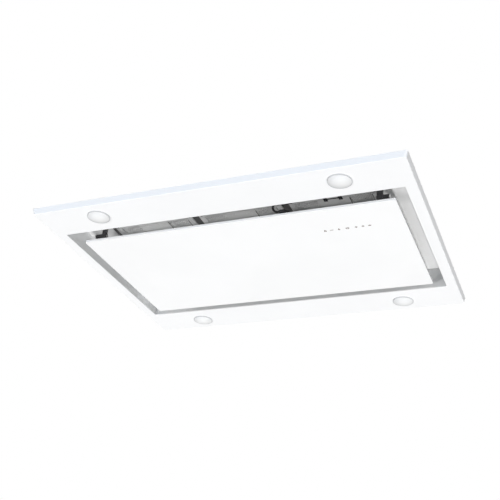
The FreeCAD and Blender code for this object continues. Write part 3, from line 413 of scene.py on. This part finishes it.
# Each axis, as where a part's own X, Y and Z then point
AXES = {
    "+x": ((0, 1, 0), (0, 0, 1), (1, 0, 0)), "-x": ((0, 0, 1), (0, 1, 0), (-1, 0, 0)),
    "+y": ((0, 0, 1), (1, 0, 0), (0, 1, 0)), "-y": ((1, 0, 0), (0, 0, 1), (0, -1, 0)),
    "+z": ((1, 0, 0), (0, 1, 0), (0, 0, 1)), "-z": ((0, 1, 0), (1, 0, 0), (0, 0, -1)),
}
ROUND_SIDES = 24
RECESS_REACH = 0.7
CROWN_FROM = 0.6
LOBE_WAIST = 0.35


def turned(radius, height, sides=ROUND_SIDES, flats=0, recess=0.0):
    """Grid of a turned part: radius and height along its profile, carried round a circle.

    Where flats is a count, the radius is cut to a polygon of that many sides. recess is the depth of a
    four-lobed driver hole, which falls off from the middle as the square of one less the radius share.
    """
    angle = np.linspace(0, 2 * np.pi, sides, endpoint=False)[:, None]
    radius, height = np.broadcast_arrays(np.asarray(radius)[None, :], np.asarray(height)[None, :])
    if flats:
        sector = 2 * np.pi / flats
        radius = radius * np.cos(sector / 2) / np.cos((angle % sector) - sector / 2)
    else:
        radius = np.broadcast_to(radius, (sides, radius.shape[1]))
    share = np.clip(radius / (RECESS_REACH * radius.max()), 0, 1)
    crown = height > CROWN_FROM * height.max()
    lobes = LOBE_WAIST + (1 - LOBE_WAIST) * np.cos(2 * angle) ** 2
    height = height - recess * (1 - share) ** 2 * lobes * crown
    return np.stack([radius * np.cos(angle), radius * np.sin(angle), height], -1)


def stand(grid, places, axis):
    """Copies of a grid, with its own Z along an axis, standing at the places."""
    along = grid @ np.array(AXES[axis], float)
    return along[None] + np.asarray(places, float)[:, None, None, :]


def centre_of(node):
    """The middle of a CAD node's box."""
    low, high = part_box(node)
    return (low + high) / 2


def inset(low, high, by):
    """The two places that lie a distance in from the ends of a span."""
    return low + by, high - by


# Fasteners
DOME_STEPS = 6
DOME_SIDE = 0.3
SCREW_R = 4.0 * MM
SCREW_RISE = 0.55
RECESS_DEPTH = 0.35
RIVET_R = 3.0 * MM
RIVET_RISE = 0.45
RIVET_SIDES = 16
HEXAGON = 6
NUT_RADII = np.array([0, 0.94, 1.0, 1.0, 0.9, 0])
NUT_RISES = np.array([0, 0, 0.1, 0.85, 1.0, 1.0])
WASHER_RADII = np.array([0, 0.96, 1.0, 1.0, 0.96, 0])
WASHER_RISES = np.array([0, 0, 0.2, 0.8, 1.0, 1.0])


def dome(radius, height):
    """Profile of a low dome: a flat foot, a short straight side and a quarter ellipse to the middle."""
    rise = np.linspace(0, np.pi / 2, DOME_STEPS)
    return (np.concatenate([[0, radius], radius * np.cos(rise)]),
            np.concatenate([[0, 0], height * (DOME_SIDE + (1 - DOME_SIDE) * np.sin(rise))]))


def screws(name, places, axis, body, radius=SCREW_R, material=bright_steel):
    """Pan-head screws with a driver recess: a dome carried round a circle."""
    grid = turned(*dome(radius, SCREW_RISE * radius), recess=RECESS_DEPTH * radius)
    surface(name, stand(grid, places, axis), material, body)


def rivets(name, places, axis, body, radius=RIVET_R):
    """Domed rivet heads: a dome carried round a circle."""
    grid = turned(*dome(radius, RIVET_RISE * radius), sides=RIVET_SIDES)
    surface(name, stand(grid, places, axis), bright_steel, body)


def nuts(name, places, axis, body, radius, height):
    """Hexagon nuts or bolt heads with chamfered corners: an eased profile carried round a hexagon."""
    grid = turned(NUT_RADII * radius, NUT_RISES * height, flats=HEXAGON)
    surface(name, stand(grid, places, axis), bright_steel, body)


def washers(name, places, axis, body, radius, height):
    """Flat round washers with eased rims: an eased profile carried round a circle."""
    grid = turned(WASHER_RADII * radius, WASHER_RISES * height)
    surface(name, stand(grid, places, axis), bright_steel, body)


# Nuts of the blower's hanger posts, on the top cover
cover_low, cover_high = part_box("top_cover")
post_low, post_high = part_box("blower_hangers")
BEAD_DEPTH = 3 * MM
COVER_TOP = cover_high.z - BEAD_DEPTH
POST_R = 6 * MM
WASHER_R = 9 * MM
WASHER_H = 1.6 * MM
HANGER_NUT_R = 6.5 * MM
HANGER_NUT_H = 5.0 * MM
posts = [(x, y, COVER_TOP) for x in inset(post_low.x, post_high.x, POST_R)
         for y in inset(post_low.y, post_high.y, POST_R)]
washers("hanger_washers", posts, "+z", "casing", WASHER_R, WASHER_H)
nut_places = [(x, y, z + WASHER_H) for x, y, z in posts]
nuts("hanger_nuts", nut_places, "+z", "casing", HANGER_NUT_R, HANGER_NUT_H)

# Screws round the skirt of the top cover
SKIRT_RISE = 5 * MM
SKIRT_Z = cover_low.z + SKIRT_RISE
LONG_SHARES = (-0.84, -0.28, 0.28, 0.84)
SHORT_SHARES = (-0.6, 0.6)
for label, axis, edge in (("front", "-y", cover_low.y), ("rear", "+y", cover_high.y)):
    places = [(share * cover_high.x, edge, SKIRT_Z) for share in LONG_SHARES]
    screws(f"cover_screws_{label}", places, axis, "casing")
for label, axis, edge in (("left", "-x", cover_low.x), ("right", "+x", cover_high.x)):
    places = [(edge, share * cover_high.y, SKIRT_Z) for share in SHORT_SHARES]
    screws(f"cover_screws_{label}", places, axis, "casing")

# Rivets at the corners of the housing
wall_low, wall_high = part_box("housing_front_panel")
back_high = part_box("housing_rear_panel")[1]
FLANGE_REACH = 9.5 * MM
FRONT_FACE = wall_low.y + FLANGE_REACH
REAR_FACE = back_high.y - FLANGE_REACH
CORNER_INSET = 8 * MM
RIVET_FOOT = 20 * MM
RIVET_HEADROOM = 40 * MM
RIVET_COUNT = 5
RIVET_LEVELS = np.linspace(wall_low.z + RIVET_FOOT, wall_high.z - RIVET_HEADROOM, RIVET_COUNT)
rivet_x = wall_high.x - CORNER_INSET
for label, axis, face in (("front", "-y", FRONT_FACE), ("rear", "+y", REAR_FACE)):
    places = [(side * rivet_x, face, z) for side in (-1, 1) for z in RIVET_LEVELS]
    rivets(f"corner_rivets_{label}", places, axis, "casing")

# Bolts of the suspension brackets, whose legs lie on the housing
bracket_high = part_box("suspension_brackets")[1]
BRACKET_W = 40 * MM
BRACKET_SHEET = 3 * MM
BOLT_STEP = 10 * MM
BOLT_DROP = 24 * MM
BOLT_R = 5.5 * MM
BOLT_H = 3.5 * MM
bracket_x = bracket_high.x - BRACKET_W / 2
bolt_z = bracket_high.z - BOLT_DROP
LEGS = (("front", "-y", FRONT_FACE - BRACKET_SHEET), ("rear", "+y", REAR_FACE + BRACKET_SHEET))
for label, axis, leg in LEGS:
    places = [(side * bracket_x + step, leg, bolt_z) for side in (-1, 1) for step in (-BOLT_STEP, BOLT_STEP)]
    nuts(f"bracket_bolts_{label}", places, axis, "casing", BOLT_R, BOLT_H)

# Screws of the electronics lid
lid_low, lid_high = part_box("electronics_lid")
LID_INSET = 8 * MM
LID_SCREW_R = 3.2 * MM
places = [(x, lid_low.y, z) for x in inset(lid_low.x, lid_high.x, LID_INSET)
          for z in inset(lid_low.z, lid_high.z, LID_INSET)]
screws("lid_screws", places, "-y", "casing", LID_SCREW_R)

# Rivets round the flange of the outlet collar
collar_low, collar_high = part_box("outlet_collar")
collar = centre_of("outlet_collar")
COLLAR_WALL = 1.5 * MM
COLLAR_INSET = 5 * MM
COLLAR_RIVET_R = 2.6 * MM
COLLAR_TURNS = np.radians(np.arange(30, 390, 60))
ring_r = collar_high.x - COLLAR_INSET
flange_y = collar_low.y + COLLAR_WALL
places = [(ring_r * math.cos(turn), flange_y, collar.z + ring_r * math.sin(turn)) for turn in COLLAR_TURNS]
rivets("collar_rivets", places, "+y", "casing", COLLAR_RIVET_R)

# Hexagon nut of the cable gland: an eased profile with a bore, carried round a hexagon
GLAND_NECK = 2 * MM
GLAND_GAP = 0.2 * MM
GLAND_NUT_R = 13.0 * MM
GLAND_NUT_H = 4.6 * MM
GLAND_BORE_R = 11.1 * MM
FOOT_EASE = 0.4 * MM
TOP_EASE = 0.6 * MM
eased_r = GLAND_NUT_R - FOOT_EASE
gland = centre_of("cable_gland")
gland_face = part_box("cable_gland")[1].x - GLAND_NECK
gland_radii = np.array([GLAND_BORE_R, eased_r, GLAND_NUT_R, GLAND_NUT_R, eased_r, GLAND_BORE_R])
gland_rises = GLAND_GAP + np.array([0, 0, FOOT_EASE, GLAND_NUT_H - TOP_EASE, GLAND_NUT_H, GLAND_NUT_H])
gland_grid = stand(turned(gland_radii, gland_rises, flats=HEXAGON), [(gland_face, gland.y, gland.z)], "-x")
surface("gland_nut", gland_grid, black_plastic, "casing", ring=(True, True))

# Screws of the hinges
HINGE_SHEET = 2.5 * MM
HINGE_SCREW_R = 3.2 * MM
FOOT_INSET = 6 * MM
LEAF_INSETS = (7 * MM, 19 * MM)
pan_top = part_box("panel_pan")[1].z
for label in ("left", "right"):
    bracket = f"hinge_bracket_{label}"
    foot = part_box(bracket)[1]
    places = [(centre_of(bracket).x, foot.y - FOOT_INSET, foot.z - HINGE_SHEET)]
    screws(f"bracket_screw_{label}", places, "-z", "casing", HINGE_SCREW_R, black_coat)
    leaf = f"hinge_leaf_{label}"
    leaf_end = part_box(leaf)[1].y
    places = [(centre_of(leaf).x, leaf_end - step, pan_top + HINGE_SHEET) for step in LEAF_INSETS]
    screws(f"leaf_screws_{label}", places, "+z", "panel", HINGE_SCREW_R)

# Screws of the catches
catch_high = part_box("catch_bodies")[1]
CATCH_FLANGE = 3 * MM
CATCH_W = 36 * MM
CATCH_EAR = 9 * MM
CATCH_SCREW_R = 2.8 * MM
catch_x = catch_high.x - CATCH_EAR - CATCH_W / 2
catch_y = centre_of("catch_bodies").y
catch_z = catch_high.z - CATCH_FLANGE
ear_step = (CATCH_W + CATCH_EAR) / 2
places = [(side * (catch_x + step), catch_y, catch_z) for side in (-1, 1) for step in (-ear_step, ear_step)]
screws("catch_screws", places, "-z", "casing", CATCH_SCREW_R)

# Screws of the touch cover
touch_low, touch_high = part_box("touch_cover")
TOUCH_INSET = 8 * MM
TOUCH_SCREW_R = 2.6 * MM
touch_y = centre_of("touch_cover").y
places = [(x, touch_y, touch_high.z) for x in inset(touch_low.x, touch_high.x, TOUCH_INSET)]
screws("touch_screws", places, "+z", "panel", TOUCH_SCREW_R)


# Grease filters
FILTERS = (1, 2, 3)
FILTER_RIM = 14 * MM
FILTER_BAND = 78 * MM
STRAND_PITCH = 3.2 * MM
STRAND_W = 2.9 * MM
STRAND_H = 0.5 * MM
ZIGZAG_STEP = 4.2 * MM
ZIGZAG_SHARE = 0.8
MESH_LAP = 5 * MM
LAYERS = (0.7 * MM, 1.5 * MM, 2.3 * MM)
HEM_W = 0.9 * MM
HEM_H = 0.6 * MM
HEM_LAP = 0.1 * MM
HEM_STEPS = 41
HEM_POINTS = 7
HEM_TAPER = 20
FILTER_RIVET_R = 2.2 * MM
FILTER_RIVET_INSET = 7 * MM

# Corners of a flat bar's section, in shares of its width and height
FLAT_BAR = np.array([(-0.5, -0.5), (0.5, -0.5), (0.5, 0.5), (-0.5, 0.5)])


def expanded_mesh(number):
    """Layers of expanded mesh over a filter's two windows.

    Each strand is a flat bar carried along a zigzag in Y; its neighbour zigzags the other way, so that the
    two meet at every turn and leave diamonds between. Every second layer is shifted by half a pitch.
    """
    low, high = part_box(f"filter_frame_{number}")
    pack_low, pack_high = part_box(f"filter_mesh_{number}")
    middle = (low.x + high.x) / 2
    half_y = pack_high.y - FILTER_RIM + MESH_LAP
    outer = (high.x - low.x) / 2 - FILTER_RIM + MESH_LAP
    inner = FILTER_BAND / 2 - MESH_LAP
    count = int((outer - inner) / STRAND_PITCH)
    turns = int(2 * half_y / ZIGZAG_STEP) + 1
    strand = np.arange(count)[:, None]
    y = np.linspace(-half_y, half_y, turns)
    side = np.where((strand + np.arange(turns)) % 2, 0.5, -0.5)
    grids = []
    for layer, lift in enumerate(LAYERS):
        start = inner + (0.5 + 0.5 * (layer % 2)) * STRAND_PITCH
        for window in (-1, 1):
            x = middle + window * (start + strand * STRAND_PITCH) + side * STRAND_PITCH * ZIGZAG_SHARE
            points = np.empty((count, turns, len(FLAT_BAR), 3))
            points[..., X] = x[..., None] + FLAT_BAR[:, 0] * STRAND_W
            points[..., Y] = y[:, None]
            points[..., Z] = pack_low.z + lift + FLAT_BAR[:, 1] * STRAND_H
            grids.append(points)
    piece = surface(f"expanded_mesh_{number}", np.concatenate(grids), mesh_metal, f"filter_{number}",
                    ring=(False, True))
    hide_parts(f"filter_mesh_{number}")


def half_round(points):
    """Section of a half-round bar below its flat: the cosine and the sine downwards of half a turn."""
    angle = np.linspace(0, np.pi, points)
    return np.cos(angle), -np.sin(angle)


def hem_shadow_lines(number):
    """Folded hem on one side of each window, dark as a painted shadow line where it laps the mesh: a
    half-round section carried along Y, drawn in at its ends.
    """
    low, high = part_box(f"filter_frame_{number}")
    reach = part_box(f"filter_mesh_{number}")[1].y - FILTER_RIM
    share = np.linspace(-1, 1, HEM_STEPS)
    size = np.clip((1 - np.abs(share)) * HEM_TAPER, 0, 1)[:, None]
    across, down = half_round(HEM_POINTS)
    middle = (low.x + high.x) / 2
    edges = (FILTER_BAND / 2, (high.x - low.x) / 2 - FILTER_RIM)
    grid = np.empty((len(edges), HEM_STEPS, len(across), 3))
    for copy, edge in enumerate(edges):
        grid[copy, ..., X] = middle + edge + size * across * HEM_W
        grid[copy, ..., Y] = share[:, None] * reach
        grid[copy, ..., Z] = low.z + HEM_LAP + size * down * HEM_H
    surface(f"hem_shadow_lines_{number}", grid, hem_painted_shadow, f"filter_{number}", ring=(False, True))


def filter_rivets(number):
    """A rivet at each corner of a filter."""
    low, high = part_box(f"filter_frame_{number}")
    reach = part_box(f"filter_mesh_{number}")[1].y
    places = [(x, y, low.z) for x in inset(low.x, high.x, FILTER_RIVET_INSET)
              for y in inset(-reach, reach, FILTER_RIVET_INSET)]
    rivets(f"filter_rivets_{number}", places, "-z", f"filter_{number}", FILTER_RIVET_R)


for number in FILTERS:
    expanded_mesh(number)
    hem_shadow_lines(number)
    filter_rivets(number)


# Finger slots of the filters
FINGER_PITCH = 36 * MM
FINGER_INSET = 14.5 * MM
SCOOP_X = 4.7 * MM
SCOOP_Y = 9.7 * MM
SCOOP_WALL = 1.0 * MM
SCOOP_SINK = 0.3 * MM
SCOOP_POWER = 4
SCOOP_ROWS = 17
SCOOP_COLUMNS = 13
PRESSED_DEPTH = 0.8 * MM
MOULDED_DEPTH = 2.6 * MM
LATCH_W = 1.6 * MM
LATCH_H = 1.2 * MM
LATCH_LAP = 0.2 * MM
LATCH_SWELL = 0.9
LATCH_POWER = 8
LATCH_STEPS = 25
LATCH_POINTS = 9


def finger_scoops(number, depth, material):
    """Two scoops in a filter's finger slots.

    Each is a sheet raised by its depth times one less the fourth power of the place across, times the same
    along, and closed by a second sheet a wall higher that meets the first at both ends.
    """
    low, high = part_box(f"filter_frame_{number}")
    along = np.linspace(-1, 1, SCOOP_ROWS)
    along = np.concatenate([along[:1], along, along[-1:]])[:, None]
    across = np.linspace(-1, 1, SCOOP_COLUMNS)
    across = np.concatenate([across, across[::-1]])
    wall = np.repeat([0, SCOOP_WALL], SCOOP_COLUMNS)
    apart = np.ones_like(along)
    apart[[0, -1]] = 0
    grid = np.empty((len(along), len(across), 3))
    grid[..., X] = across * SCOOP_X
    grid[..., Y] = along * SCOOP_Y
    grid[..., Z] = depth * (1 - across ** SCOOP_POWER) * (1 - along ** SCOOP_POWER) + wall * apart
    middle = (low.x + high.x) / 2
    y = low.y + FINGER_INSET
    places = [(middle + side * FINGER_PITCH / 2, y, low.z + SCOOP_SINK) for side in (-1, 1)]
    surface(f"finger_scoops_{number}", stand(grid, places, "+z"), material, f"filter_{number}",
            ring=(False, True))


def latch_bar(number):
    """Sliding bar between a filter's scoops: a half-round section carried along X, thicker at both ends."""
    low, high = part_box(f"filter_frame_{number}")
    share = np.linspace(-1, 1, LATCH_STEPS)[:, None]
    swell = 1 + LATCH_SWELL * share ** LATCH_POWER
    across, down = half_round(LATCH_POINTS)
    grid = np.empty((1, LATCH_STEPS, len(across), 3))
    grid[0, ..., X] = (low.x + high.x) / 2 + share * FINGER_PITCH / 2
    grid[0, ..., Y] = low.y + FINGER_INSET + swell * across * LATCH_W
    grid[0, ..., Z] = low.z + LATCH_LAP + swell * down * LATCH_H
    ends = grid.mean(2, keepdims=True).repeat(len(across), 2)
    closed = np.concatenate([ends[:, :1], grid, ends[:, -1:]], 1)
    surface(f"latch_bar_{number}", closed, black_plastic, f"filter_{number}",
            ring=(False, True))


*pressed, latched = FILTERS
for number in pressed:
    finger_scoops(number, PRESSED_DEPTH, filter_steel)
finger_scoops(latched, MOULDED_DEPTH, black_plastic)
latch_bar(latched)


# Touch icons on the glass
ICON_LINE = -110 * MM
ICON_PLACES = np.array([203.9, 219.5, 237.0, 257.1, 277.8, 293.8, 309.5]) * MM
ICON_R = 3.9 * MM
STROKE = 1.8 * MM
PRINT = 0.06 * MM
ARC_STEPS = 25
RUN_STEPS = 5
glass_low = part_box("panel_glass")[0]


def arc(start, end, radius, centre=(0, 0)):
    """Points of an arc, in shares of the icon's radius and degrees from the top."""
    angle = np.radians(np.linspace(start, end, ARC_STEPS))
    return np.stack([centre[0] + radius * np.sin(angle), centre[1] + radius * np.cos(angle)], -1)


def line(start, end):
    """Points of a straight stroke, in shares of the icon's radius."""
    return np.linspace(np.array(start, float), np.array(end, float), RUN_STEPS)


# Generic signs, in the order of their places
STOPWATCH = [arc(0, 360, 0.6, (0, -0.25)), line((-0.1, 0.5), (-0.1, 0.95))]
MINUS = [line((-1.1, 0), (1.1, 0))]
THERMOMETER = [arc(0, 360, 0.45, (0, -0.35)), line((0, 0.1), (0, 0.95))]
POWER = [arc(35, 325, 0.85), line((0, 1.0), (0, 0.1))]
PLUS = [line((-0.9, 0), (0.9, 0)), line((0, -0.9), (0, 0.9))]
RING = [arc(0, 360, 0.54)]
LAMP = [arc(-90, 90, 0.7, (0, -0.3)), line((-0.7, -0.3), (0.7, -0.3))]
ICONS = (STOPWATCH, MINUS, THERMOMETER, POWER, PLUS, RING, LAMP)


def touch_icon(number, place, strokes):
    """One printed sign: each stroke is a flat bar carried along its path on the glass."""
    for part, path in enumerate(strokes, 1):
        ahead = np.gradient(path, axis=0)
        across = np.stack([-ahead[:, 1], ahead[:, 0]], -1)
        across /= np.linalg.norm(across, axis=1, keepdims=True)
        edges = path[:, None, :] * ICON_R + across[:, None, :] * FLAT_BAR[:, :1] * STROKE
        grid = np.empty((1, len(path), len(FLAT_BAR), 3))
        grid[0, ..., X] = place + edges[..., 0]
        grid[0, ..., Y] = ICON_LINE - edges[..., 1]
        grid[0, ..., Z] = glass_low.z - PRINT * FLAT_BAR[:, 1]
        surface(f"touch_icon_{number}_{part}", grid, icon_ink, "panel", ring=(False, True))


for number, (place, strokes) in enumerate(zip(ICON_PLACES, ICONS), 1):
    touch_icon(number, place, strokes)


# Stage
STAGE_HALF = 9.0
FLOOR_LEVEL = -2.4
FLOOR_LIFT = 0.45
CEILING_LEVEL = 0.2 * MM
CEILING_LAP = 10 * MM
CORNERS = np.array([(-1, -1), (1, -1), (1, 1), (-1, 1)])


def ceiling_finish():
    """Sheet that the camera sees as white from below; it is clear from above and to every other ray."""
    finish = Finish("ceiling_white")
    looked = finish.node("ShaderNodeLightPath", {}, out="Is Camera Ray")
    behind = finish.node("ShaderNodeNewGeometry", {}, out="Backfacing")
    glow = finish.node("ShaderNodeEmission", {}, Color=(1, 1, 1, 1), Strength=1.0)
    clear = finish.node("ShaderNodeBsdfTransparent", {})
    white = finish.node("ShaderNodeMixShader", {}, looked, clear, glow)
    finish.show(finish.node("ShaderNodeMixShader", {}, behind, white, clear), "Material Output")
    return finish.material


def floor_finish():
    """Pale matt floor, lifted towards white for the camera; the shadow on it stays."""
    finish = Finish("floor_pale")
    grain = finish.noise(scale=40.0)
    finish.set(Emission_Color=(1.0, 1.0, 1.0), Emission_Strength=FLOOR_LIFT)
    return finish.set(Base_Color=finish.ramp(grain, (0.3, (0.84, 0.84, 0.835)), (0.7, (0.88, 0.88, 0.875))),
                      Roughness=0.8 + 0.1 * grain).material


def stage_sheet(name, outlines, faces, level, material):
    """Flat sheet through the corners of rectangles about the middle, which throws no shadow or bounce."""
    points = [(*corner, level) for half in outlines for corner in (CORNERS * half).tolist()]
    mesh = bpy.data.meshes.new(name)
    mesh.from_pydata(points, [], faces)
    mesh.materials.append(material)
    made = bpy.data.objects.new(name, mesh)
    bpy.context.scene.collection.objects.link(made)
    made.visible_shadow = False
    made.visible_diffuse = False
    return made


frame_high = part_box("ceiling_frame")[1]
hole = (frame_high.x - CEILING_LAP, frame_high.y - CEILING_LAP)
whole = (STAGE_HALF, STAGE_HALF)
round_hole = [(i, (i + 1) % QUAD, QUAD + (i + 1) % QUAD, QUAD + i) for i in range(QUAD)]
ceiling = stage_sheet("ceiling", (hole, whole), round_hole, CEILING_LEVEL, ceiling_finish())
floor = stage_sheet("floor", (whole,), [tuple(range(QUAD))], FLOOR_LEVEL, floor_finish())


# Light
WORLD_LIGHT = 0.08
WORLD_TINT = (0.97, 0.985, 1.0, 1.0)
WHITE = (1.0, 1.0, 1.0)
COOL = (0.15, 0.5, 1.0)


def studio_world():
    """World that lights the object faintly, and that the camera, gloss and glass see as white."""
    world = bpy.data.worlds.new("studio")
    world.use_nodes = True
    graph = Graph(world.node_tree)
    graph.tree.nodes.remove(graph.tree.nodes["Background"])
    faint = graph.node("ShaderNodeBackground", {}, Color=WORLD_TINT, Strength=WORLD_LIGHT)
    white = graph.node("ShaderNodeBackground", {}, Color=(1, 1, 1, 1), Strength=1.0)
    seen = graph.node("ShaderNodeLightPath", {}, out="Is Camera Ray")
    glossy = seen.output("Is Glossy Ray")
    through = seen.output("Is Transmission Ray")
    seen = seen.maths("MAXIMUM", glossy).maths("MAXIMUM", through)
    graph.show(graph.node("ShaderNodeMixShader", {}, seen, faint, white), "World Output")
    return world


def sun(name, towards, strength, spread, colour=WHITE, gloss=True):
    """Distant soft light from a direction; its strength is what it adds to a white face square to it."""
    data = bpy.data.lights.new(name, "SUN")
    data.energy = strength * math.pi
    data.color = colour
    data.angle = math.radians(spread)
    made = bpy.data.objects.new(name, data)
    made.visible_glossy = gloss
    made.rotation_mode = "QUATERNION"
    made.rotation_quaternion = Vector(towards).to_track_quat("Z", "Y")
    bpy.context.scene.collection.objects.link(made)


bpy.context.scene.world = studio_world()
sun("key_front_left", (-0.30, -0.81, -0.55), strength=0.45, spread=10, gloss=False)
sun("key_front_right", (0.539, -0.699, -0.470), strength=0.28, spread=14, gloss=False)
sun("fill_from_below", (0.322, 0.0, -0.947), strength=0.50, spread=6)
sun("soft_from_below", (0.0, 0.0, -1.0), strength=0.09, spread=60)
sun("rear_light", (-0.35, 0.60, 0.72), strength=0.42, spread=60)
sun("cool_front", (0.0, -1.0, 0.06), strength=0.13, spread=30, colour=COOL, gloss=False)

# Camera, fitted to the straight edges of the frame, opening and panel and to the four lights
LENS = 61.41
SENSOR = 36
EYE = Vector((0.7455, -1.7375, -1.0177))
RIGHT = Vector((0.92659, 0.36806, 0.07722))
UP = Vector((0.11463, -0.47196, 0.87413))
BACK = Vector((0.35818, -0.80111, -0.47951))
camera_data = bpy.data.cameras.new("camera")
camera_data.lens = LENS
camera_data.sensor_width = SENSOR
camera = bpy.data.objects.new("camera", camera_data)
camera.matrix_world = Matrix.Translation(EYE) @ Matrix((RIGHT, UP, BACK)).transposed().to_4x4()
bpy.context.scene.collection.objects.link(camera)
bpy.context.scene.camera = camera
bpy.context.scene.view_settings.view_transform = "Standard"
